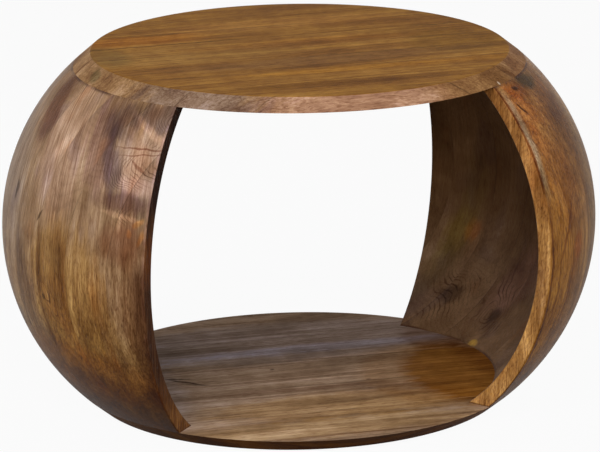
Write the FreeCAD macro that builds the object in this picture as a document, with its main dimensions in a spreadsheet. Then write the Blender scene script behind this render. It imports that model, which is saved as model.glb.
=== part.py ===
import FreeCAD, Part
import math
import os
import Sketcher

# Barrel-shaped table of solid wood, open at the front and the back. An oval top and an oval
# base are each glued up from boards. A bowed wall stands at each end, glued up from upright
# boards and carved round inside and out, so that the sloping rims of the top and the base
# carry on the curve of the walls. Dowels set along the slope hold the walls to top and base.
# X runs along the width, from wall to wall, the front is at -Y, and Z is up from the floor.

doc = FreeCAD.newDocument("drum_table")
sheet = doc.addObject("Spreadsheet::Sheet", "Sizes")

# Driving sizes, in millimetres, or in degrees where the note says so
DRIVING = [
    ("height", 450, "floor to top face"),
    ("belly_width", 758, "width at the widest level"),
    ("belly_depth", 676, "depth of the whole oval at the widest level"),
    ("belly_height", 226, "height of the widest level"),
    ("rim_width", 572, "width under the top"),
    ("foot_width", 573, "width on top of the base"),
    ("face_width", 526, "width of the top face"),
    ("floor_width", 529, "width of the underside"),
    ("top_thick", 18, "thickness of the top"),
    ("base_thick", 18, "thickness of the base"),
    ("face_depth", 492, "depth of the top face, front to back"),
    ("wall_thick", 20.4, "wall at the widest level, measured level"),
    ("rim_thick", 24.7, "wall under the top, measured level"),
    ("foot_thick", 33.3, "wall on the base, measured level"),
    ("end_angle", 49.7, "degrees from the long axis to a wall's end face"),
    ("end_reach", 42.3, "middle of the table to where the planes of two end faces meet"),
    ("wall_board", 53.5, "thickness of one board of a wall"),
    ("wall_shift", 0, "first seam of a wall behind the middle"),
    ("top_board", 58, "width of one board of the top"),
    ("top_shift", 9, "first seam of the top behind the middle"),
    ("top_turn", 4.6, "degrees from the long axis to the boards of the top"),
    ("base_board", 98.7, "width of one board of the base"),
    ("base_shift", 49, "first seam of the base behind the middle"),
    ("base_turn", 1.7, "degrees from the long axis to the boards of the base"),
    ("face_ease", 4, "rounding around the top face"),
    ("floor_ease", 1.5, "rounding around the underside"),
    ("outer_ease", 2, "rounding where an end face meets the outside"),
    ("inner_ease", 1, "rounding where an end face meets the inside"),
    ("dowel_size", 8, "diameter of a dowel"),
    ("dowel_length", 32, "length of a dowel"),
    ("dowel_ease", 1, "chamfer at a dowel's ends"),
    ("dowel_play", 0.1, "clearance round a dowel"),
    ("glue_room", 1, "room past a dowel's end"),
    ("overrun", 15, "how far a cutting shape passes the wood"),
]

# Worked out from the driving sizes. The outside of the barrel is two arcs that meet upright at
# the widest level, and so is the inside. A dowel leans with the wall that it is in. A rounding
# of a wall's edge takes no more than its share of the wall where that is thinnest.
DERIVED = [
    ("plan_share", "belly_depth / belly_width"),
    ("belly_half", "belly_width / 2"),
    ("rim_half", "rim_width / 2"),
    ("foot_half", "foot_width / 2"),
    ("face_half", "face_width / 2"),
    ("floor_half", "floor_width / 2"),
    ("rim_level", "height - top_thick"),
    ("rim_rise", "rim_level - belly_height"),
    ("foot_drop", "belly_height - base_thick"),
    ("outer_top_radius",
     "((belly_half - rim_half)^2 + rim_rise^2) / (belly_half - rim_half) / 2"),
    ("outer_foot_radius",
     "((belly_half - foot_half)^2 + foot_drop^2) / (belly_half - foot_half) / 2"),
    ("inner_half", "belly_half - wall_thick"),
    ("inner_rim_half", "rim_half - rim_thick"),
    ("inner_foot_half", "foot_half - foot_thick"),
    ("inner_top_radius",
     "((inner_half - inner_rim_half)^2 + rim_rise^2) / (inner_half - inner_rim_half) / 2"),
    ("inner_foot_radius",
     "((inner_half - inner_foot_half)^2 + foot_drop^2) / (inner_half - inner_foot_half) / 2"),
    ("face_share", "face_depth / face_width"),
    ("dowel_radius", "dowel_size / 2"),
    ("hole_radius", "dowel_radius + dowel_play"),
    ("dowel_grip", "dowel_length / 2"),
    ("hole_grip", "dowel_grip + glue_room"),
    ("rim_ring", "rim_half - rim_thick / 2"),
    ("foot_ring", "foot_half - foot_thick / 2"),
    ("rim_lean", "-asin(2 * rim_rise / (outer_top_radius + inner_top_radius)) / 1 deg"),
    ("foot_lean", "asin(2 * foot_drop / (outer_foot_radius + inner_foot_radius)) / 1 deg"),
    ("rim_wall", "rim_thick * sqrt(1 - (rim_rise / outer_top_radius)^2)"),
    ("foot_wall", "foot_thick * sqrt(1 - (foot_drop / outer_foot_radius)^2)"),
    ("thinnest_wall", "min(wall_thick; rim_wall; foot_wall)"),
    ("outer_round", "min(outer_ease; thinnest_wall / 2)"),
    ("inner_round", "min(inner_ease; thinnest_wall / 4)"),
    ("slab_length", "belly_width + 2 * overrun"),
    ("wall_length", "belly_half + overrun"),
]

# The board at each edge takes what is left over, at least this share of a board's width
LEAST_BOARD_SHARE = 0.6

# The sign of X on each side of the table
SIDES = {"left": -1, "right": 1}

# The level at which the upper and the lower end of a wall meets its neighbour
ENDS = {"rim": "rim_level", "foot": "base_thick"}


def fill_sheet():
    rows = [(name, str(value), note) for name, value, note in DRIVING]
    rows += [(name, "=" + formula, "worked out") for name, formula in DERIVED]
    for row, (name, content, note) in enumerate(rows, start=1):
        sheet.set(f"A{row}", note)
        sheet.set(f"B{row}", content)
        sheet.setAlias(f"B{row}", name)
    doc.recompute()


def size(name):
    return float(sheet.get(name))


def add(kind, name, expressions):
    obj = doc.addObject(kind, name)
    for prop, expression in expressions.items():
        obj.setExpression(prop, expression)
    return obj


def place(obj, x, y, z):
    for axis, expression in (("x", x), ("y", y), ("z", z)):
        obj.setExpression("Placement.Base." + axis, expression)


def boolean(kind, name, base, tool):
    obj = doc.addObject("Part::" + kind, name)
    obj.Base = base
    obj.Tool = tool
    obj.Refine = False
    return obj


def compound(name, links):
    obj = doc.addObject("Part::Compound", name)
    obj.Links = links
    return obj


def rounded(name, base, edges):
    obj = doc.addObject("Part::Fillet", name)
    obj.Base = base
    obj.Edges = edges
    return obj


def oval_scaled(name, base, share):
    # a round form drawn in to an oval, narrower from front to back
    obj = doc.addObject("Part::Scale", name)
    obj.Base = base
    obj.Uniform = False
    obj.XScale = 1
    obj.setExpression("YScale", share)
    obj.ZScale = 1
    return obj


def board_slabs(name, pitch, shift, reach, box, placed):
    # one box for each board between the seams, and on past the wood at the front and the back
    least = LEAST_BOARD_SHARE * size(pitch)
    most = math.ceil(reach / size(pitch))
    steps = [n for n in range(-most, most + 1)
             if abs(size(shift) + n * size(pitch)) < reach - least]
    edges = [f"(Sizes.{shift} + {n} * Sizes.{pitch})" for n in steps]
    edges = ["(-Sizes.belly_depth / 2)"] + edges + ["(Sizes.belly_depth / 2)"]
    for number, (start, stop) in enumerate(zip(edges, edges[1:]), start=1):
        slab = add("Part::Box", f"{name}_slab_{number}", {**box, "Width": f"{stop} - {start}"})
        place(slab, *placed(start))
        yield number, slab


# Dowels and their holes: posts that lean with the wall, half in each of the two pieces

def dowelled_boards(end):
    # the middles of the wall boards that are broad enough where they meet the top or the base
    ring = size(end + "_ring")
    slope = math.tan(math.radians(size("end_angle")))
    middle = size("wall_shift") + size("wall_board") / 2
    most = math.ceil(size("belly_depth") / size("wall_board"))
    for n in range(-most, most + 1):
        y = middle + n * size("wall_board")
        across = 1 - (y / size("plan_share") / ring) ** 2
        if across > 0:
            end_y = slope * (ring * math.sqrt(across) - size("end_reach"))
            if abs(y) + size("dowel_length") < end_y:
                yield f"(Sizes.wall_shift + ({n} + 1 / 2) * Sizes.wall_board)"


def posts(name, end, side, radius, grip):
    made = []
    for y in dowelled_boards(end):
        x = f"({SIDES[side]} * sqrt(Sizes.{end}_ring^2 - ({y} / Sizes.plan_share)^2))"
        across = f"vector(-{y} / Sizes.plan_share^2; {x}; 0)"
        on_ring = (f"placement(vector({x}; {y}; Sizes.{ENDS[end]}); "
                   f"rotation({across}; Sizes.{end}_lean))")
        down = f"placement(vector(0; 0; -Sizes.{grip}); rotation(vector(0; 0; 1); 0))"
        made.append(add("Part::Cylinder", f"{name}_{end}_{side}", {
            "Radius": "Sizes." + radius, "Height": f"2 * Sizes.{grip}",
            "Placement": f"{on_ring} * {down}"}))
    return made


def holes(end, side):
    return posts("hole", end, side, "hole_radius", "hole_grip")


def dowels(name, end, side):
    made = []
    ease = size("dowel_ease")
    for post in posts("peg", end, side, "dowel_radius", "dowel_grip"):
        doc.recompute()
        rims = [number for number, edge in enumerate(post.Shape.Edges, start=1)
                if isinstance(edge.Curve, Part.Circle)]
        chamfer = doc.addObject("Part::Chamfer", post.Name + "_eased")
        chamfer.Base = post
        chamfer.Edges = [(number, ease, ease) for number in rims]
        made.append(chamfer)
    return compound(name, made)


# Top and base: an oval plate with a sloping rim, cut into boards

def oval(name, half, share, level):
    circle = add("Part::Circle", name + "_circle", {"Radius": "Sizes." + half})
    outline = oval_scaled(name, circle, "Sizes." + share)
    outline.setExpression("Placement.Base.z", level)
    return outline


def plate(name, low, high, choose, ease):
    # a rounding goes round its highest or its lowest edge
    loft = doc.addObject("Part::Loft", name + "_plate")
    loft.Sections = [oval(name + "_low", *low), oval(name + "_high", *high)]
    loft.Solid = True
    loft.Ruled = True
    doc.recompute()
    edges = enumerate(loft.Shape.Edges, start=1)
    number, _ = choose(edges, key=lambda item: item[1].CenterOfMass.z)
    return rounded(name + "_eased", loft, [(number, ease, ease)])


def boards(name, blank, end, level, reach):
    drilled = boolean("Cut", name + "_drilled", blank,
                      compound(name + "_holes", holes(end, "left") + holes(end, "right")))
    turn = f"Sizes.{name}_turn"
    box = {"Length": "Sizes.slab_length", "Height": f"Sizes.{name}_thick + 2 * Sizes.overrun",
           "Placement.Rotation.Angle": turn}

    def placed(start):
        return (f"-Sizes.slab_length / 2 * cos({turn}) - {start} * sin({turn})",
                f"-Sizes.slab_length / 2 * sin({turn}) + {start} * cos({turn})",
                f"{level} - Sizes.overrun")
    slabs = board_slabs(name, name + "_board", name + "_shift", reach, box, placed)
    return [boolean("Common", f"{name}_board_{number}", drilled, slab) for number, slab in slabs]


def top():
    blank = plate("top", ("rim_half", "plan_share", "Sizes.rim_level"),
                  ("face_half", "face_share", "Sizes.height"), max, size("face_ease"))
    reach = size("rim_half") * size("plan_share")
    return boards("top", blank, "rim", "Sizes.rim_level", reach)


def base():
    blank = plate("base", ("floor_half", "plan_share", "0"),
                  ("foot_half", "plan_share", "Sizes.base_thick"), min, size("floor_ease"))
    reach = size("foot_half") * size("plan_share")
    return boards("base", blank, "foot", "0", reach)


# Walls: the section of a wall turned about the upright axis, drawn in to an oval and cut off
# by two upright planes, then sliced into its boards. In a sketch, points 1, 2 and 3 of an arc
# are its start, its end and its centre, and line -1 is the long axis, which starts at the origin.

START, END, CENTRE = range(1, 4)
ORIGIN = (-1, START)
LONG_AXIS = ORIGIN[0]


def new_sketch(body, role, name):
    sketch = body.newObject("Sketcher::SketchObject", name)
    plane = [item for item in body.Origin.OriginFeatures if item.Role == role][0]
    sketch.AttachmentSupport = [(plane, "")]
    sketch.MapMode = "FlatFace"
    return sketch


def fix(sketch, kind, places, value, name, expression):
    # a dimension bound to the sheet
    index = sketch.addConstraint(Sketcher.Constraint(kind, *places, value))
    sketch.renameConstraint(index, name)
    sketch.setExpression("Constraints." + name, expression)


def tie(sketch, kind, *places):
    sketch.addConstraint(Sketcher.Constraint(kind, *places))


def section_arc(half, radius, low, high):
    # an arc that is upright at the widest level, between two levels
    belly = size("belly_height")
    round_off = size(radius)
    centre = FreeCAD.Vector(size(half) - round_off, belly, 0)
    circle = Part.Circle(centre, FreeCAD.Vector(0, 0, 1), round_off)
    return Part.ArcOfCircle(circle, math.asin((low - belly) / round_off),
                            math.asin((high - belly) / round_off))


def section_side(sketch, name, half):
    # one side of the section: the arc below the widest level, and the arc above it
    belly = size("belly_height")
    foot_radius = name + "_foot_radius"
    top_radius = name + "_top_radius"
    lower = sketch.addGeometry(section_arc(half, foot_radius, size("base_thick"), belly))
    upper = sketch.addGeometry(section_arc(half, top_radius, belly, size("rim_level")))
    tie(sketch, "Coincident", lower, END, upper, START)
    tie(sketch, "Horizontal", lower, CENTRE, lower, END)
    tie(sketch, "Horizontal", upper, CENTRE, upper, START)
    fix(sketch, "DistanceX", ORIGIN + (lower, END), size(half), name + "_out", "Sizes." + half)
    fix(sketch, "DistanceY", ORIGIN + (lower, END), belly, name + "_level", "Sizes.belly_height")
    fix(sketch, "Radius", (lower,), size(foot_radius), foot_radius, "Sizes." + foot_radius)
    fix(sketch, "Radius", (upper,), size(top_radius), top_radius, "Sizes." + top_radius)
    return lower, upper


def section_end(sketch, end, outer, inner, point):
    # the level line that closes the section at its upper or lower end
    line = sketch.addGeometry(Part.LineSegment(sketch.getPoint(outer, point),
                                               sketch.getPoint(inner, point)))
    level = ENDS[end]
    tie(sketch, "Coincident", line, START, outer, point)
    tie(sketch, "Coincident", line, END, inner, point)
    tie(sketch, "Horizontal", line)
    fix(sketch, "DistanceY", ORIGIN + (line, START), size(level), end, "Sizes." + level)


def wall_shell():
    body = doc.addObject("PartDesign::Body", "wall_shell")
    sketch = new_sketch(body, "XZ_Plane", "wall_section")
    outer_low, outer_high = section_side(sketch, "outer", "belly_half")
    inner_low, inner_high = section_side(sketch, "inner", "inner_half")
    section_end(sketch, "rim", outer_high, inner_high, END)
    section_end(sketch, "foot", outer_low, inner_low, START)
    doc.recompute()
    turned = body.newObject("PartDesign::Revolution", "wall_turned")
    turned.Profile = sketch
    turned.ReferenceAxis = (sketch, ["V_Axis"])
    turned.Angle = 180
    turned.Midplane = True
    return oval_scaled("wall_oval", body, "Sizes.plan_share")


def end_wedge():
    # what lies between the planes of a wall's two end faces
    body = doc.addObject("PartDesign::Body", "end_wedge")
    sketch = new_sketch(body, "XY_Plane", "wedge_plan")
    sketch.setExpression("AttachmentOffset.Base.z", "Sizes.base_thick - Sizes.overrun")
    reach = size("end_reach")
    far = size("wall_length")
    spread = (far - reach) * math.tan(math.radians(size("end_angle")))
    apex, back, front = [FreeCAD.Vector(x, y, 0)
                         for x, y in ((reach, 0), (far, spread), (far, -spread))]
    lines = [sketch.addGeometry(Part.LineSegment(first, last))
             for first, last in ((apex, back), (back, front), (front, apex))]
    for first, last in zip(lines, lines[1:] + lines[:1]):
        tie(sketch, "Coincident", first, END, last, START)
    to_back, across = lines[:2]
    tie(sketch, "PointOnObject", to_back, START, LONG_AXIS)
    tie(sketch, "Symmetric", across, START, across, END, LONG_AXIS)
    fix(sketch, "DistanceX", ORIGIN + (to_back, START), reach, "reach", "Sizes.end_reach")
    fix(sketch, "DistanceX", ORIGIN + (to_back, END), far, "far", "Sizes.wall_length")
    fix(sketch, "DistanceY", ORIGIN + (to_back, END), spread, "spread",
        "(Sizes.wall_length - Sizes.end_reach) * tan(Sizes.end_angle)")
    doc.recompute()
    pad = body.newObject("PartDesign::Pad", "wedge_pad")
    pad.Profile = sketch
    pad.setExpression("Length", "Sizes.rim_level - Sizes.base_thick + 2 * Sizes.overrun")
    return body


def barrel_half(level):
    # half the width of the barrel's outside at a level
    rise = level - size("belly_height")
    radius = size("outer_top_radius") if rise > 0 else size("outer_foot_radius")
    return size("belly_half") - radius + math.sqrt(radius ** 2 - rise ** 2)


def end_edges(shape):
    # the long edges of a wall's flat end faces, each with the rounding that it gets
    ends = [face for face in shape.Faces
            if isinstance(face.Surface, Part.Plane) and face.BoundBox.ZLength > size("wall_thick")]
    found = []
    for number, edge in enumerate(shape.Edges, start=1):
        on_end = any(edge.isSame(other) for face in ends for other in face.Edges)
        if on_end and edge.BoundBox.ZLength > size("wall_thick"):
            middle = edge.valueAt(sum(edge.ParameterRange) / 2)
            ring = math.hypot(middle.x, middle.y / size("plan_share"))
            outside = ring > barrel_half(middle.z) - size("wall_thick") / 2
            ease = size("outer_round") if outside else size("inner_round")
            found.append((number, ease, ease))
    return found


def walls():
    raw = boolean("Common", "wall_raw", wall_shell(), end_wedge())
    doc.recompute()
    reach = max(vertex.Y for vertex in raw.Shape.Vertexes)
    right = rounded("wall_right", raw, end_edges(raw.Shape))
    left = doc.addObject("Part::Mirroring", "wall_left")
    left.Source = right
    left.Normal = FreeCAD.Vector(1, 0, 0)
    made = []
    for side, blank, start_x in (("left", left, "-Sizes.wall_length"), ("right", right, "0")):
        drilled = boolean("Cut", side + "_drilled", blank,
                          compound(side + "_holes", holes("rim", side) + holes("foot", side)))
        box = {"Length": "Sizes.wall_length", "Height": "Sizes.height"}
        slabs = board_slabs(side, "wall_board", "wall_shift", reach, box,
                            lambda start: (start_x, start, "0"))
        made += [boolean("Common", f"{side}_wall_board_{number}", drilled, slab)
                 for number, slab in slabs]
    return made


def faulty(obj):
    return any(word in obj.State for word in ("Invalid", "Error"))


def main():
    fill_sheet()
    pieces = top() + base() + walls()
    for name, end in (("top", "rim"), ("base", "foot")):
        pieces += [dowels(f"{name}_{side}_dowels", end, side) for side in SIDES]
    doc.recompute()
    for obj in doc.Objects:
        if faulty(obj):
            raise RuntimeError(f"{obj.Name} failed: {obj.State}")
    for piece in pieces:
        if piece.Shape.isNull() or not piece.Shape.isValid() or not piece.Shape.Solids:
            raise RuntimeError(f"{piece.Label} has no valid shape")
    os.makedirs("parts", exist_ok=True)
    for piece in pieces:
        piece.Shape.exportStep(os.path.join("parts", piece.Label + ".step"))
        print(piece.Label, len(piece.Shape.Solids), "solids", round(piece.Shape.Volume), "mm3")


main()
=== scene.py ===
import math

import bpy
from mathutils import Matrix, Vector

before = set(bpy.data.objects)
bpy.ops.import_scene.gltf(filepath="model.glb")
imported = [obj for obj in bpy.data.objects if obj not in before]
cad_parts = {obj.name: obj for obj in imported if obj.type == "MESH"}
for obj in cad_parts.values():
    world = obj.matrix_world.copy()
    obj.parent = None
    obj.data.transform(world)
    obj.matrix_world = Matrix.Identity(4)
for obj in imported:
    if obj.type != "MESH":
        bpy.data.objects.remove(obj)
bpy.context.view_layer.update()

# The camera stands where the photograph was taken from. Lengths in the scene are in metres.
CAMERA_PLACE = (-1.0562, -4.2334, 1.5100)
CAMERA_PITCH = 90 - 16.5155
CAMERA_HEADING = -14.0097
CAMERA_LENS = 214.30
SENSOR_WIDTH = 36

# Each lamp: place, width, power in watts
LAMPS = {
    "key": ((-1.6, -2.2, 3.0), 1.8, 90),
    "front": ((-0.7, -4.2, 2.4), 1.6, 80),
    "right": ((2.8, -0.6, 2.2), 1.6, 42),
    "left": ((-3.2, 1.2, 1.5), 1.6, 20),
}
LAMP_AIM = Vector((0, 0, 0.22))
AMBIENT = 0.17

FLOOR_WIDTH = 30
FLOOR_COLOUR = (0.25, 0.25, 0.25)
FLOOR_GLOW_SHARE = 0.95

# Materials work in millimetres
MILLIMETRES = 1000

# Where the boards meet, as the solids have them
TOP_BOARD = 58
TOP_SHIFT = 9
TOP_TURN = 4.6
BASE_BOARD = 98.7
BASE_SHIFT = 49
BASE_TURN = 1.7
WALL_BOARD = 53.5
END_ANGLE = 49.7
END_REACH = 42.3
PLAN_SHARE = 676 / 758
WALL_MIDDLE = 330


def rgb(red, green, blue):
    """A colour as seen, from 0 to 255, as the linear colour that a shader takes."""
    return tuple(((c / 255 + 0.055) / 1.055) ** 2.4 for c in (red, green, blue))


# Fields: numbers that vary over a surface, each made by shader nodes

class Field:
    """A number at each point of a surface, which takes part in sums and products."""

    def __init__(self, shader, socket):
        self.shader = shader
        self.socket = socket

    def __add__(self, other):
        return self.shader.math("ADD", self, other)

    def __radd__(self, other):
        return self.shader.math("ADD", other, self)

    def __sub__(self, other):
        return self.shader.math("SUBTRACT", self, other)

    def __rsub__(self, other):
        return self.shader.math("SUBTRACT", other, self)

    def __mul__(self, other):
        return self.shader.math("MULTIPLY", self, other)

    def __rmul__(self, other):
        return self.shader.math("MULTIPLY", other, self)

    def __truediv__(self, other):
        return self.shader.math("DIVIDE", self, other)

    def __pow__(self, other):
        return self.shader.math("POWER", self, other)

    def __abs__(self):
        return self.shader.math("ABSOLUTE", self)

    def fraction(self):
        return self.shader.math("FRACT", self)

    def floor(self):
        return self.shader.math("FLOOR", self)

    def sign(self):
        return self.shader.math("SIGN", self)

    def rise(self, low, high):
        """0 up to low, 1 from high on, and smooth between. High may be the lower number."""
        return self.shader.rise(self, low, high)


class Shader:
    """Adds nodes to one material. A plain number or colour can stand for any field."""

    def __init__(self, name):
        self.material = bpy.data.materials.new(name)
        self.material.use_nodes = True
        self.tree = self.material.node_tree
        self.surface = self.tree.nodes["Principled BSDF"]

    def add(self, kind, inputs, **settings):
        node = self.tree.nodes.new("ShaderNode" + kind)
        for name, value in settings.items():
            setattr(node, name, value)
        for socket, value in inputs.items():
            self.feed(node.inputs[socket], value)
        return node

    def feed(self, socket, value):
        if isinstance(value, Field):
            value = value.socket
        if isinstance(value, bpy.types.NodeSocket):
            self.tree.links.new(value, socket)
        elif socket.type == "RGBA":
            socket.default_value = (*value, 1)
        else:
            socket.default_value = value

    def math(self, operation, *values):
        node = self.add("Math", dict(enumerate(values)), operation=operation)
        return Field(self, node.outputs[0])

    def rise(self, value, low, high):
        node = self.add("MapRange", {0: value, 1: low, 2: high}, interpolation_type="SMOOTHSTEP")
        return Field(self, node.outputs[0])

    def point(self, x, y, z):
        return self.add("CombineXYZ", {0: x, 1: y, 2: z}).outputs[0]

    def parts(self, vector):
        node = self.add("SeparateXYZ", {0: vector})
        return [Field(self, output) for output in node.outputs]

    def dot(self, vector, other):
        node = self.add("VectorMath", {0: vector, 1: other}, operation="DOT_PRODUCT")
        return Field(self, node.outputs["Value"])

    def length(self, *parts):
        node = self.add("VectorMath", {0: self.point(*parts)}, operation="LENGTH")
        return Field(self, node.outputs["Value"])

    def noise(self, place, sizes, detail=2, roughness=0.5):
        """Noise whose features have these sizes along the three axes of the place."""
        scaled = self.point(*(part / size for part, size in zip(place, sizes)))
        node = self.add("TexNoise", {"Vector": scaled, "Scale": 1, "Detail": detail,
                                     "Roughness": roughness})
        return Field(self, node.outputs[0])

    def chance(self, number):
        """Three numbers from 0 to 1 that depend on nothing but this one."""
        node = self.add("TexWhiteNoise", {"W": number}, noise_dimensions="1D")
        return self.parts(node.outputs["Color"])

    def mix(self, share, colour, other, kind="MIX"):
        node = self.add("Mix", {0: share, 6: colour, 7: other}, data_type="RGBA", blend_type=kind)
        return node.outputs[2]

    def tint(self, colour, share, tone):
        """The colour times the tone, as far as the share says."""
        return self.mix(share, colour, tone, "MULTIPLY")

    def ramp(self, value, stops):
        node = self.add("ValToRGB", {0: value})
        elements = node.color_ramp.elements
        for number, (position, colour) in enumerate(stops):
            if number >= len(elements):
                elements.new(position)
            elements[number].position = position
            elements[number].color = (*colour, 1)
        return node.outputs[0]

    def finish(self, colour, roughness, height, depth, lacquer):
        """Height is from 0 to 1, and depth is what that stands for, in metres."""
        bump = self.add("Bump", {"Height": height, "Distance": depth})
        self.feed(self.surface.inputs["Base Color"], colour)
        self.feed(self.surface.inputs["Roughness"], roughness)
        self.surface.inputs["Specular IOR Level"].default_value = lacquer * 0.7
        self.surface.inputs["Coat Weight"].default_value = lacquer
        self.surface.inputs["Coat Roughness"].default_value = 0.38
        self.tree.links.new(bump.outputs[0], self.surface.inputs["Normal"])
        return self.material


def table_place(shader):
    """Where a point lies in the table, in millimetres."""
    coordinates = shader.add("TexCoord", {}).outputs["Object"]
    return [part * MILLIMETRES for part in shader.parts(coordinates)]


def board_at(shader, across, pitch, shift):
    """The number of the board there, and how far the nearest seam and the board's middle are."""
    steps = (across - shift) / pitch
    number = steps.floor()
    from_middle = (steps.fraction() - 0.5) * pitch
    to_seam = pitch / 2 - abs(from_middle)
    return number, to_seam, from_middle


class Grain:
    """The grain of a board: growth rings round a pith that lies off to one side and wanders.

    The rings climb over a swell as contour lines climb a hill, so a swell makes an eye.
    """

    def __init__(self, shader, along, across, through, chance, ring, pith, lean, swell=0):
        turn = chance[0] * 2 * math.pi
        far = pith * (0.7 + chance[1] * 0.6)
        slope = (chance[2] - 0.5) * lean
        shift = chance[1] * 900
        place = (along + shift, across + shift, through)
        drift = (shader.noise(place, (260, 80, 80), 1) - 0.5) * ring * 8
        weave = (shader.noise(place, (70, 12, 12), 2) - 0.5) * ring * 0.7
        off_across = across + far * shader.math("COSINE", turn) + along * slope
        off_through = through + far * shader.math("SINE", turn) - along * slope
        distance = shader.length(off_across, off_through, 0) + drift + weave + swell
        self.rings = (distance / ring).fraction()
        self.late = self.rings.rise(0.4, 0.9) * self.rings.rise(1, 0.92)
        self.band = shader.noise(place, (300, 26, 26), 2)
        self.cloud = shader.noise(place, (120, 50, 50), 2)
        self.shimmer = shader.noise(place, (28, 60, 60), 1)
        self.streak = shader.noise(place, (130, 5, 5), 3, 0.7)
        self.fibre = shader.noise(place, (16, 1.8, 1.8), 3, 0.8)
        self.pore = shader.noise(place, (11, 1.7, 1.7), 1).rise(0.56, 0.66)
        self.hair = abs(shader.noise(place, (260, 10, 10), 2) - 0.5).rise(0.06, 0)

    def tone(self, band, streak, fibre):
        """How light the wood is, from 0 to 1, with this much of each kind of change."""
        bands = (self.band - 0.5) * band + (self.shimmer - 0.5) * 0.35
        return bands + (self.streak - 0.5) * streak + (self.fibre - 0.5) * fibre + 0.5


def seams(shader, to_seam, weakness, place):
    """Dark hairlines where boards meet, here strong and there faint."""
    broken = shader.noise(place, (90, 90, 90), 1).rise(0.3, 0.65)
    return to_seam.rise(1, 0.2) * broken * weakness


def hump(shader, face, middle, reach, turn=0):
    """0 in the middle of an oval and 1 on its outline. Its long reach lies along the turn."""
    shape = {"Vector": face, "Location": (*middle, 0), "Rotation": (0, 0, math.radians(turn)),
             "Scale": (*reach, 1)}
    node = shader.add("Mapping", shape, vector_type="TEXTURE")
    length = shader.add("VectorMath", {0: node.outputs[0]}, operation="LENGTH")
    return Field(shader, length.outputs["Value"])


def spotted(shader, colour, face, flow, spots, where=1):
    """Tints the spots, each with its middle, its reach, its turn, its tone and its strength.

    The flow is how far a point lies along the grain and across it, and the outlines of the
    spots are frayed that way.
    """
    warp = shader.add("TexNoise", {"Vector": face, "Scale": 1 / 22, "Detail": 2}).outputs["Color"]
    face = shader.add("VectorMath", {0: warp, 1: (9, 9, 0), 2: face},
                      operation="MULTIPLY_ADD").outputs[0]
    face = shader.add("VectorMath", {0: face, 1: (4.5, 4.5, 0)}, operation="SUBTRACT").outputs[0]
    fray = (shader.noise((*flow, 0), (44, 9, 1), 4, 0.65) - 0.5) * 2.4
    for _, middle, reach, turn, tone, strength in spots:
        narrow = min(reach)
        frayed = hump(shader, face, middle, reach, turn) + fray * min(narrow / 10, 22 / narrow, 0.6)
        soft = min(0.45, 14 / narrow)
        inside = frayed.rise(1 + soft, 1 - soft)
        colour = shader.tint(colour, inside * strength * where, tone)
    return colour


def swollen(shader, face, eyes):
    """How far the eyes raise the grain, each with its middle, its reach, its turn and height."""
    warp = (shader.noise(shader.parts(face), (34, 34, 1), 2) - 0.5) * 0.9
    total = 0
    for _, middle, reach, turn, height in eyes:
        near = hump(shader, face, middle, reach, turn) + warp
        total = near.rise(1, 0) * height + total
    return total


# Tones that spots on the wood take, as shares of red, green and blue light
HEARTWOOD = (0.50, 0.36, 0.32)
UMBER = (0.60, 0.50, 0.44)
VIOLET = (0.72, 0.74, 1.06)
GREY = (0.90, 1.03, 1.38)
OLIVE = (0.82, 0.86, 0.66)
RUSSET = (0.98, 0.68, 0.44)
GOLD = (1.16, 1.06, 0.66)
PALE = (1.45, 1.45, 1.50)
ROSE = (1.16, 1.10, 1.45)
BLACK = (0.20, 0.16, 0.14)

# Spots on the top: middle and reach, along the boards and across them
TOP_SPOTS = [
    ("violet band", (20, -68), (195, 22), 0, (0.84, 0.87, 1.25), 0.9),
    ("golden band", (70, -122), (190, 12), 0, (1.16, 1.1, 0.8), 0.9),
    ("dark streak", (-40, -184), (160, 14), 0, (0.68, 0.62, 0.5), 0.9),
    ("thin dark streak", (90, -150), (90, 3), 0, UMBER, 0.7),
    ("orange patch", (-190, 98), (90, 24), 0, (1.04, 0.84, 0.58), 0.9),
    ("dark patch behind", (122, 117), (65, 20), 0, (0.86, 0.8, 0.7), 0.8),
    ("light behind", (10, 134), (140, 26), 0, (1.32, 1.36, 1.6), 0.8),
    ("grey board at the left", (-130, 8), (130, 44), 0, (1.02, 1.1, 1.34), 0.8),
    ("light middle", (0, 28), (150, 17), 0, (1.16, 1.08, 0.86), 0.8),
    ("brown behind", (165, 44), (60, 20), 0, (0.84, 0.82, 0.74), 0.9),
    ("dark seam at the left", (-175, 67), (110, 1.3), 0, BLACK, 0.8),
    ("dark seam at the right", (205, 66), (56, 1.6), 0, BLACK, 0.7),
    ("olive end", (200, -25), (64, 60), 0, (0.74, 0.74, 0.60), 0.8),
    ("grey left end", (-243, 26), (26, 50), 0, (0.72, 0.78, 0.86), 0.9),
]

# Spots on the sloping rim of the top: middle and reach, along the width and the depth
RIM_SPOTS = [
    ("brown left end", (-250, -110), (60, 110), 0, (0.86, 0.84, 0.80), 0.8),
    ("violet left", (-184, -186), (84, 34), -35, (0.64, 0.70, 1.0), 0.95),
    ("dark left", (-110, -232), (44, 9), -12, UMBER, 0.6),
    ("brown corner", (-262, -64), (22, 66), 8, UMBER, 0.35),
    ("green stain", (-270, -46), (7, 13), 0, (0.45, 0.52, 0.45), 0.8),
    ("dark joint at the left end", (-280, 6), (24, 2.5), 0, HEARTWOOD, 0.8),
    ("rosy middle", (30, -250), (160, 30), 0, ROSE, 0.8),
    ("brown right", (170, -185), (90, 60), 0, (0.66, 0.56, 0.42), 0.9),
    ("brown right end", (262, -70), (40, 90), 0, UMBER, 0.9),
    ("brown at the right corner", (210, -158), (36, 34), 0, (0.74, 0.7, 0.66), 0.9),
]
RIM_EYES = [
    ("eye at the left", (-190, -186), (42, 22), -35, 26),
    ("eye at the right", (150, -215), (36, 16), 20, 12),
]

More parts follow.
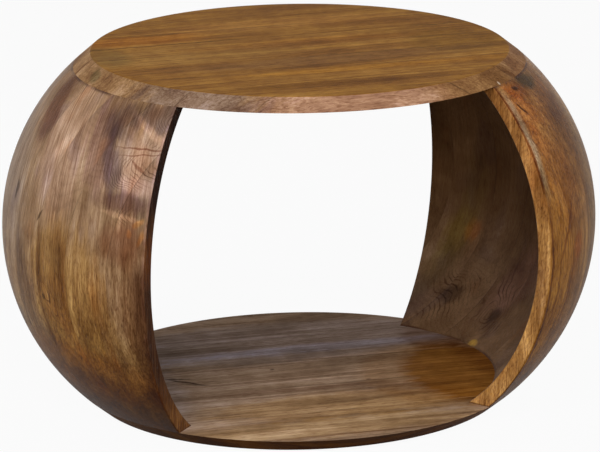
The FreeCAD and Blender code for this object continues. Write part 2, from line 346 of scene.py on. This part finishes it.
# The grain of the left wall bows towards the back above this height, this much for each mm²
LEFT_BOW_HEIGHT = 250
LEFT_BOW = 0.0021

# Spots on the outside of the left wall: middle and reach, along the depth and the height
LEFT_SPOTS = [
    ("tan board", (-98, 366), (86, 36), 62, (1.3, 1.3, 1.5), 0.8),
    ("red heart", (-22, 402), (46, 22), 56, HEARTWOOD, 1.0),
    # Painted sheen: the far side of the wall made paler and greyer, standing in for the white
    # surroundings it reflects at a grazing angle.
    ("painted sheen on the far side", (18, 326), (130, 46), 52, (1.06, 1.22, 1.55), 0.8),
    ("pale chip", (-94, 366), (7, 12), 0, PALE, 0.5),
    ("violet beside the band", (-152, 378), (60, 16), 54, (0.78, 0.70, 0.84), 0.9),
    ("rosy eye", (-204, 366), (40, 24), 54, (1.2, 1.25, 1.55), 0.9),
    ("violet band", (-172, 372), (56, 9), 54, (0.50, 0.50, 0.62), 0.95),
    ("violet patch at the top", (-152, 408), (26, 15), 30, (0.55, 0.53, 0.66), 0.9),
    ("violet above the eye", (-188, 419), (34, 14), 10, (0.50, 0.50, 0.66), 0.95),
    ("pale bow above the eye", (-182, 407), (32, 3), 25, PALE, 1.0),
    ("pale streak under the eye", (-217, 345), (22, 9), 12, (1.3, 1.25, 1.35), 0.9),
    ("first line in the eye", (-198, 387), (22, 1.1), -4, HEARTWOOD, 0.9),
    ("second line in the eye", (-201, 380), (20, 0.9), -10, HEARTWOOD, 0.8),
    ("third line in the eye", (-206, 366), (14, 1), 30, HEARTWOOD, 0.8),
    ("dark heart", (-214, 325), (28, 12), 0, (0.56, 0.48, 0.54), 1.0),
    ("pale bow under the heart", (-216, 309), (22, 2.6), 8, PALE, 0.8),
    ("brown heart", (-224, 280), (24, 24), 0, (0.62, 0.48, 0.44), 0.9),
    ("orange fleck", (-235, 304), (3, 6), 20, (1.7, 1.35, 0.8), 0.7),
    ("second orange fleck", (-241, 288), (2.5, 8), 0, (1.7, 1.35, 0.8), 0.7),
    ("third orange fleck", (-229, 292), (2, 4), -20, (1.6, 1.3, 0.8), 0.6),
    ("pale by the end face", (-234, 345), (13, 60), 10, (1.05, 1.15, 1.3), 0.8),
    ("golden belly", (-150, 195), (62, 92), 0, GOLD, 0.8),
    ("dark streak", (-110, 200), (3, 90), 0, UMBER, 0.8),
    ("dark crack", (-106, 286), (1.5, 9), 20, BLACK, 0.8),
    ("dark mark", (-29, 299), (4, 11), 0, BLACK, 0.8),
    ("dark spot", (-118, 185), (3, 4), 0, BLACK, 0.7),
    ("pale bow", (-134, 176), (30, 7), 62, PALE, 0.4),
    ("dark by the end face", (-240, 180), (14, 90), 0, UMBER, 0.9),
    ("russet low", (-130, 90), (120, 40), 0, RUSSET, 0.6),
    # Painted shade: the foot of the wall, which faces down, is darkened in two steps.
    ("dark foot", (-120, 30), (220, 62), 0, UMBER, 0.95),
    ("darker foot", (-60, 8), (200, 44), 0, (0.54, 0.37, 0.08), 0.9),
]
LEFT_EYES = [
    ("eye", (-204, 365), (44, 32), -10, 34),
    ("eye above", (-196, 416), (26, 18), 10, 18),
    ("eye below", (-219, 311), (24, 16), 0, 16),
    ("bow", (-134, 172), (56, 20), 62, 14),
    ("low eye", (-60, 120), (30, 70), 0, 10),
]

# The same for the outside of the right wall
RIGHT_SPOTS = [
    ("red about the knot", (-163, 421), (16, 10), 0, RUSSET, 0.9),
    ("knot", (-163, 423), (5, 3.6), 0, BLACK, 1.0),
    ("green patch", (-128, 424), (24, 9), 0, (0.30, 0.36, 0.30), 0.95),
    ("slot", (-186, 403), (1.8, 7), 0, BLACK, 1.0),
    ("russet under the knot", (-186, 400), (26, 20), 0, RUSSET, 0.5),
    ("umber behind", (-122, 392), (30, 34), 60, UMBER, 0.8),
    ("pale board edge", (-155, 391), (28, 2.2), 64, PALE, 0.5),
    ("russet belly", (-206, 330), (26, 70), 0, RUSSET, 0.35),
    ("brown between", (-180, 340), (60, 8), 70, UMBER, 0.6),
    # Painted sheen: the far side of the wall made paler and greyer, standing in for the white
    # surroundings it reflects at a grazing angle.
    ("painted sheen on the far side", (-108, 300), (130, 38), 70, (1.08, 1.32, 1.75), 0.85),
    ("golden edge", (-228, 200), (24, 110), 0, GOLD, 0.9),
    ("russet spot", (-197, 227), (10, 16), 0, RUSSET, 0.9),
    ("long dark line", (-220, 252), (42, 1.8), 64, HEARTWOOD, 0.9),
    ("second dark line", (-208, 190), (1.6, 60), 2, UMBER, 0.9),
    ("third dark line", (-232, 170), (1.6, 60), 4, UMBER, 0.8),
    # Painted shade: the foot of the wall, which faces down, is darkened.
    ("dark foot", (-150, 20), (200, 40), 0, UMBER, 0.5),
]
RIGHT_EYES = [
    ("knot", (-165, 423), (26, 22), 0, 16),
    ("eye", (-196, 250), (20, 80), 0, 10),
]

# The same for the inside of both walls
INSIDE_SPOTS = [
    # Painted shade: the inside darkened near the top, under the top panel.
    ("dark top", (80, 400), (260, 60), 0, UMBER, 0.7),
    ("violet at the front", (-60, 250), (90, 160), 0, VIOLET, 0.6),
    ("grey by the eye", (60, 110), (30, 60), 30, ROSE, 0.9),
    ("green streak", (186, 140), (16, 90), 0, OLIVE, 0.8),
    ("dark knot", (68, 52), (9, 9), 0, BLACK, 0.7),
    ("second dark knot", (150, 60), (12, 10), 0, BLACK, 0.6),
    ("violet foot behind", (200, 40), (40, 30), 0, VIOLET, 0.8),
    ("yellow fleck", (56, 21), (7, 3), 0, (2.5, 2.6, 1.0), 1.0),
    ("olive smudge", (190, 135), (14, 30), 0, (1.15, 1.20, 0.75), 0.8),
    ("orange smudge", (174, 140), (9, 14), 0, (1.45, 0.98, 0.7), 0.7),
]
INSIDE_EYES = [
    ("eye at the foot", (65, 68), (60, 56), 0, 20),
    ("second eye", (150, 62), (42, 50), 0, 16),
]


def top_wood():
    shader = Shader("top_wood_grain")
    x, y, z = table_place(shader)
    turn = math.radians(TOP_TURN)
    along = x * math.cos(turn) + y * math.sin(turn)
    across = y * math.cos(turn) - x * math.sin(turn)
    board, to_seam, from_middle = board_at(shader, across, TOP_BOARD, TOP_SHIFT)
    chance = shader.chance(board + 11)
    through = z - 441
    normal = shader.parts(shader.add("TexCoord", {}).outputs["Normal"])
    rim = normal[2].rise(0.93, 0.8)
    from_above = shader.point(x, y, 0)
    swell = swollen(shader, from_above, RIM_EYES)
    grain = Grain(shader, along, from_middle, through, chance, 5.5, 120, 0.08, swell)
    tone = grain.tone(1.2, 0.5, 0.9) + (chance[0] - 0.5) * 0.15
    colour = shader.ramp(tone, [(0.0, rgb(76, 46, 18)), (0.35, rgb(120, 80, 34)),
                                (0.6, rgb(142, 100, 44)), (1.0, rgb(178, 134, 70))])
    colour = shader.tint(colour, 1 - rim, (1.0, 1.0, 0.96))
    colour = shader.tint(colour, rim, (1.42, 1.78, 4.2))
    colour = shader.tint(colour, grain.late * 0.3, UMBER)
    colour = shader.tint(colour, grain.hair * 0.5, UMBER)
    flow = (along, across)
    colour = spotted(shader, colour, shader.point(along, across, 0), flow, TOP_SPOTS, 1 - rim)
    colour = spotted(shader, colour, from_above, flow, RIM_SPOTS, rim)
    colour = shader.tint(colour, grain.pore * 0.6, UMBER)
    filler = hump(shader, from_above, (208, -173), (3, 1.8)).rise(1, 0.5) * rim
    colour = shader.mix(filler, colour, rgb(176, 156, 134))
    seam = seams(shader, to_seam, 0.9, (along, across, through)) * (1 - rim * 0.5)
    colour = shader.mix(seam, colour, rgb(48, 30, 18))
    roughness = 0.5 + grain.streak * 0.16
    height = grain.fibre * 0.6 + grain.rings * 0.25 - grain.pore * 0.5 - seam
    return shader.finish(colour, roughness, height, 0.0003, 0.02)


# Spots on the base: middle and reach, along the boards and across them
BASE_SPOTS = [
    # Painted reflection: the white surroundings seen in the base's finish, as a grey veil at the
    # back.
    ("grey behind", (0, 130), (260, 80), 0, GREY, 0.7),
    ("grey left", (-220, -20), (60, 150), 0, GREY, 0.5),
    ("golden front", (20, -130), (170, 46), 0, (1.08, 0.96, 0.66), 0.8),
    # Painted reflection: the right wall seen in the base's finish, as a warm darker patch on the
    # right.
    ("russet about the right", (190, -50), (118, 130), 0, (0.86, 0.70, 0.46), 0.6),
    ("russet right", (206, -50), (76, 118), 0, (0.72, 0.50, 0.18), 1.0),
    # Painted shade: the corner where the base meets the right wall's foot, darkened.
    ("dark at the right foot", (215, 100), (50, 50), 0, UMBER, 0.9),
    ("dark along the right foot", (248, 20), (30, 110), 0, UMBER, 0.8),
    ("brown middle", (110, -90), (70, 26), 0, UMBER, 0.5),
    ("crack", (-152, 6), (24, 2.2), -38, BLACK, 1.0),
    ("crack, upper side", (-158, 19), (17, 1.8), -18, BLACK, 0.9),
    ("crack, lower side", (-140, -8), (15, 1.6), -24, BLACK, 0.8),
    ("grey band", (60, 95), (200, 16), 0, GREY, 0.8),
    ("umber band", (-60, -60), (150, 9), 0, UMBER, 0.6),
    ("dark spot", (-31, 24), (3, 2), 0, BLACK, 0.8),
    ("dark spot in front", (79, -45), (3, 2), 0, BLACK, 0.7),
    ("pale seam", (60, 52), (110, 1.6), 0, PALE, 0.7),
    ("pale seam in front", (70, -25), (100, 1.6), 0, PALE, 0.6),
    ("tan front board", (-20, -205), (190, 34), 0, (1.06, 0.97, 0.68), 0.8),
    ("golden front, right end", (90, -150), (90, 26), 0, (1.16, 1.14, 1.05), 0.8),
    ("dark line in front", (-10, -236), (130, 2.5), 0, UMBER, 0.7),
]
BASE_EYES = [
    ("eye at the crack", (-150, 12), (46, 22), -20, 14),
]


def base_wood():
    shader = Shader("base_wood_grain")
    x, y, z = table_place(shader)
    turn = math.radians(BASE_TURN)
    along = x * math.cos(turn) + y * math.sin(turn)
    across = y * math.cos(turn) - x * math.sin(turn)
    board, to_seam, from_middle = board_at(shader, across, BASE_BOARD, BASE_SHIFT)
    chance = shader.chance(board + 31)
    face = shader.point(along, across, 0)
    swell = swollen(shader, face, BASE_EYES)
    grain = Grain(shader, along, from_middle, z - 9, chance, 6, 90, 0.1, swell)
    colour = shader.ramp(grain.tone(1.6, 0.35, 0.7),
                         [(0.0, rgb(82, 54, 28)), (0.4, rgb(124, 90, 54)),
                          (0.65, rgb(148, 112, 72)), (1.0, rgb(182, 144, 102))])
    colour = shader.tint(colour, grain.late * 0.3, UMBER)
    colour = shader.tint(colour, grain.hair * 0.5, UMBER)
    colour = shader.tint(colour, 1, (1.46, 1.83, 3.1))
    colour = spotted(shader, colour, face, (along, across), BASE_SPOTS)
    colour = shader.tint(colour, grain.pore * 0.6, UMBER)
    seam = seams(shader, to_seam, 0.7, (along, across, z))
    colour = shader.mix(seam, colour, rgb(40, 27, 18))
    normal = shader.parts(shader.add("TexCoord", {}).outputs["Normal"])
    # Painted shade: faces that turn down, such as the rim under the base, are darkened nearly to
    # black.
    colour = shader.tint(colour, normal[2].rise(0.5, 0), (0.28, 0.14, 0.03))
    height = grain.fibre * 0.6 + grain.rings * 0.25 - grain.pore * 0.5 - seam
    return shader.finish(colour, 0.5 + grain.streak * 0.16, height, 0.0003, 0.012)


def wall_wood(side):
    """The wood of one wall. The side is -1 for the left wall and 1 for the right wall."""
    left = side < 0
    shader = Shader("left_wall_wood_grain" if left else "right_wall_wood_grain")
    x, y, z = table_place(shader)
    normal = shader.parts(shader.add("TexCoord", {}).outputs["Normal"])
    inward = normal[0] * -side
    outward = y.sign() * normal[1]
    end_face = shader.math("MINIMUM", inward, outward).rise(0.3, 0.55)
    inside = (normal[0] * x + normal[1] * y).rise(0, -90) * (1 - end_face)
    outside = (1 - inside) * (1 - end_face)
    board, to_seam, from_middle = board_at(shader, y, WALL_BOARD, 0)
    chance = shader.chance(board + side * 40 + 3)
    through = abs(x) - WALL_MIDDLE
    face = shader.point(y, z, 0)
    swell = (swollen(shader, face, LEFT_EYES if left else RIGHT_EYES) * outside
             + swollen(shader, face, INSIDE_EYES) * inside)
    grain = Grain(shader, z - 225, from_middle, through, chance, 6, 60, 0.12, swell)
    calm = outside * z.rise(220, 300) if left else inside * 0.8
    tone = grain.tone(1.2 - calm * 0.6, 0.7 - calm * 0.6, 1 - calm * 0.75)
    tone = tone + (chance[2] - 0.5) * 0.2
    if left:
        above = shader.math("MAXIMUM", z - LEFT_BOW_HEIGHT, 0)
        flow = (z, y - above ** 2 * LEFT_BOW)
        stroke = shader.noise((*flow, 0), (70, 2.8, 1), 3, 0.7) - 0.5
        tone = tone + stroke * calm * 1.1
    colour = shader.ramp(tone, [(0.0, rgb(84, 54, 30)), (0.4, rgb(128, 94, 60)),
                                (0.65, rgb(154, 118, 80)), (1.0, rgb(196, 160, 118))])
    colour = shader.tint(colour, grain.cloud.rise(0.54, 0.7) * 0.5, VIOLET)
    colour = shader.tint(colour, grain.cloud.rise(0.44, 0.3) * 0.4, RUSSET)
    eyed = (swell / 12).rise(0, 1)
    line = grain.rings.rise(0.6, 0.86) * grain.rings.rise(1, 0.94)
    patchy = shader.noise((y, z, x), (22, 22, 22), 2).rise(0.3, 0.65)
    lines = line * eyed * patchy + grain.late * (1 - eyed) * 0.16
    colour = shader.tint(colour, lines * (1 - end_face), (0.46, 0.40, 0.38))
    colour = shader.tint(colour, grain.hair * 0.7 * (1 - end_face) * (1 - calm), UMBER)
    colour = shader.tint(colour, grain.pore * (0.8 - calm * 0.6), UMBER)
    strokes = grain.fibre.rise(0.48, 0.34) * (0.5 - calm * 0.4)
    colour = shader.tint(colour, strokes, UMBER)
    if left:
        fan = shader.noise((*flow, 5), (150, 8, 1), 2)
        colour = shader.tint(colour, abs(fan - 0.5).rise(0.03, 0) * calm * 0.7, UMBER)
        colour = left_tones(shader, colour, (x, y, z), face, flow, outside, end_face)
    else:
        colour = right_tones(shader, colour, (x, y, z), face, outside, end_face)
    colour = spotted(shader, colour, face, (z, y), INSIDE_SPOTS, inside)
    colour = shader.tint(colour, inside, (0.60, 0.54, 0.50))
    colour = shader.tint(colour, inside * z.rise(230, 60), (1.08, 1.22, 1.55))
    seam = seams(shader, to_seam, 0.35, (y, z, x))
    joint = shader.math("MAXIMUM", z.rise(428.6, 431.4), z.rise(20.5, 18.5))
    joint = joint * shader.noise((y, x, 0), (40, 40, 1), 2).rise(0.3, 0.6)
    if left:
        joint = joint * shader.math("MAXIMUM", 1 - outside, y.rise(-142, -118))
    colour = shader.mix(seam, colour, rgb(44, 28, 18))
    colour = shader.mix(joint * 0.8, colour, rgb(58, 30, 20))
    height = grain.fibre * 0.6 + grain.rings * 0.25 - grain.pore * 0.5 - seam
    shader.surface.inputs["Sheen Weight"].default_value = 0.16
    shader.surface.inputs["Sheen Roughness"].default_value = 0.3
    return shader.finish(colour, 0.5 + grain.streak * 0.16, height, 0.0003, 0.03)


def end_blotches(shader, z):
    """The height on an end face, moved up and down a little so that bands of tone and painted shade
    on the end faces end unevenly.
    """
    return z + (shader.noise((z, 0, 0), (40, 1, 1), 2) - 0.5) * 60


def past_arris(shader, place):
    """How far a point lies behind the plane of the nearest end face."""
    x, y, z = place
    turn = math.radians(END_ANGLE)
    return (abs(x) - END_REACH) * math.sin(turn) - abs(y) * math.cos(turn)


def left_tones(shader, colour, place, face, flow, outside, end_face):
    """The left wall is paler and greyer above, partly in the wood's tone and partly as painted
    sheen; painted shade darkens its foot and its end faces nearly to black.
    """
    x, y, z = place
    # Paler and greyer above: partly the wood's own tone, partly a painted sheen where the upper
    # wall faces the light.
    colour = shader.tint(colour, outside * z.rise(170, 330), (1.14, 1.28, 1.65))
    # Darker and warmer towards the foot: painted shade where the wall turns to face down, away from
    # the light above.
    colour = shader.tint(colour, outside * z.rise(210, 50), (0.90, 0.82, 0.42))
    colour = shader.tint(colour, outside * z.rise(380, 425) * 0.7, (0.84, 0.80, 0.72))
    colour = spotted(shader, colour, face, flow, LEFT_SPOTS, outside)
    blotch = end_blotches(shader, z)
    # Painted shade: the left end faces, turned away from the light, are darkened nearly to black,
    # and darker still towards the top.
    colour = shader.tint(colour, end_face, (0.34, 0.24, 0.19))
    colour = shader.tint(colour, end_face * blotch.rise(290, 330), (0.32, 0.28, 0.28))
    warm = end_face * blotch.rise(300, 275) * blotch.rise(225, 250)
    colour = shader.tint(colour, warm * 0.8, (2.3, 2.0, 1.5))
    colour = shader.tint(colour, end_face * blotch.rise(100, 50) * 0.8, (2.3, 2.4, 1.7))
    streaked = shader.noise((z, y, 0), (60, 3, 1), 3).rise(0.42, 0.6)
    colour = shader.tint(colour, end_face * streaked, UMBER)
    from_end = past_arris(shader, place)
    # Painted highlight: a broken pale rosy line along the rounded outer arris, where it catches the
    # light.
    arris_highlight_breaks = shader.noise((0, 0, z), (1, 1, 24), 2).rise(0.35, 0.6)
    colour = shader.tint(colour, from_end.rise(5, 1) * outside * arris_highlight_breaks * 0.7, ROSE)
    stain = from_end.rise(26, 8) * outside * z.rise(270, 240)
    return shader.tint(colour, stain * 0.8, (0.50, 0.42, 0.42))


def right_tones(shader, colour, place, face, outside, end_face):
    """The right wall is warmer, its end faces are golden, and a painted highlight runs beside them.
    """
    x, y, z = place
    colour = shader.tint(colour, outside, (0.90, 0.74, 0.46))
    # Darker towards the foot: painted shade where the wall turns to face down, away from the light
    # above.
    colour = shader.tint(colour, outside * z.rise(190, 90), (0.90, 0.82, 0.60))
    colour = spotted(shader, colour, face, (z, y), RIGHT_SPOTS, outside)
    flecks = shader.noise((y + z * 0.5, z - y * 0.5, 0), (2, 9, 1), 3, 0.7)
    colour = shader.tint(colour, end_face, (1.46, 1.30, 0.92))
    colour = shader.tint(colour, end_face * flecks.rise(0.5, 0.66) * 0.8, UMBER)
    colour = shader.tint(colour, end_face * flecks.rise(0.5, 0.36) * 0.5, GOLD)
    blotch = end_blotches(shader, z)
    colour = shader.tint(colour, end_face * blotch.rise(250, 330) * 0.8, UMBER)
    from_end = past_arris(shader, place)
    wander = from_end + (shader.noise((z, 0, 0), (34, 1, 1), 2) - 0.5) * 7
    # Painted highlight: a pale lilac band a few millimetres behind the end face, where the rounded
    # arris catches the light.
    pale = wander.rise(17, 9) * wander.rise(1, 6) * z.rise(285, 340) * z.rise(432, 405)
    colour = shader.tint(colour, pale * outside, (1.2, 1.9, 4.2))
    edge = from_end.rise(5, 1) * z.rise(300, 320)
    beside = wander.rise(9, 5) * wander.rise(1, 4) * z.rise(300, 270)
    return shader.tint(colour, shader.math("MAXIMUM", edge, beside) * outside, HEARTWOOD)


def dowel_wood():
    shader = Shader("dowel_wood_grain")
    x, y, z = table_place(shader)
    fibre = shader.noise((x, y, z), (0.6, 0.6, 9), 3)
    colour = shader.ramp(fibre, [(0.3, rgb(176, 140, 100)), (0.7, rgb(206, 174, 134))])
    return shader.finish(colour, 0.6, fibre, 0.0001, 0.1)


def dress():
    """Each node takes the wood of the part that it belongs to."""
    woods = {"top_board": top_wood(), "base_board": base_wood(), "left_wall": wall_wood(-1),
             "right_wall": wall_wood(1), "dowels": dowel_wood()}
    for name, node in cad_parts.items():
        for part, wood in woods.items():
            if part in name:
                for slot in node.material_slots:
                    slot.material = wood


# The floor, the world, the lamps and the camera

def stage_floor():
    mesh = bpy.data.meshes.new("floor")
    half = FLOOR_WIDTH / 2
    mesh.from_pydata([(-half, -half, 0), (half, -half, 0), (half, half, 0), (-half, half, 0)],
                     [], [(0, 1, 2, 3)])
    floor = bpy.data.objects.new("floor", mesh)
    bpy.context.scene.collection.objects.link(floor)
    shader = Shader("floor")
    tree = shader.tree
    tree.nodes.remove(shader.surface)
    diffuse = shader.add("BsdfDiffuse", {"Color": FLOOR_COLOUR})
    glow = shader.add("Emission", {"Color": (1, 1, 1), "Strength": 1})
    path = shader.add("LightPath", {})
    seen = shader.math("MAXIMUM", path.outputs["Is Camera Ray"], path.outputs["Is Glossy Ray"])
    seen = shader.math("MAXIMUM", seen, path.outputs["Is Transmission Ray"])
    mixed = shader.add("MixShader", {0: seen * FLOOR_GLOW_SHARE, 1: diffuse.outputs[0],
                                     2: glow.outputs[0]})
    output = next(node for node in tree.nodes if node.type == "OUTPUT_MATERIAL")
    tree.links.new(mixed.outputs[0], output.inputs["Surface"])
    mesh.materials.append(shader.material)


def light_world():
    world = bpy.data.worlds.new("studio")
    bpy.context.scene.world = world
    world.use_nodes = True
    tree = world.node_tree
    background = tree.nodes["Background"]
    background.inputs["Color"].default_value = (1, 1, 1, 1)
    path = tree.nodes.new("ShaderNodeLightPath")
    seen = path.outputs["Is Camera Ray"]
    for kind in ("Is Glossy Ray", "Is Transmission Ray"):
        either = tree.nodes.new("ShaderNodeMath")
        either.operation = "MAXIMUM"
        tree.links.new(seen, either.inputs[0])
        tree.links.new(path.outputs[kind], either.inputs[1])
        seen = either.outputs[0]
    level = tree.nodes.new("ShaderNodeMapRange")
    level.inputs["To Min"].default_value = AMBIENT
    tree.links.new(seen, level.inputs["Value"])
    tree.links.new(level.outputs[0], background.inputs["Strength"])


def light_lamps():
    for name, (place, width, power) in LAMPS.items():
        lamp = bpy.data.lights.new(name, "AREA")
        lamp.size = width
        lamp.energy = power
        holder = bpy.data.objects.new(name, lamp)
        holder.location = place
        holder.rotation_euler = (LAMP_AIM - Vector(place)).to_track_quat("-Z", "Y").to_euler()
        bpy.context.scene.collection.objects.link(holder)


def place_camera():
    lens = bpy.data.cameras.new("camera")
    lens.lens = CAMERA_LENS
    lens.sensor_width = SENSOR_WIDTH
    camera = bpy.data.objects.new("camera", lens)
    camera.location = CAMERA_PLACE
    camera.rotation_euler = (math.radians(CAMERA_PITCH), 0, math.radians(CAMERA_HEADING))
    bpy.context.scene.collection.objects.link(camera)
    bpy.context.scene.camera = camera


dress()
stage_floor()
light_world()
light_lamps()
place_camera()
bpy.context.scene.view_settings.view_transform = "Standard"
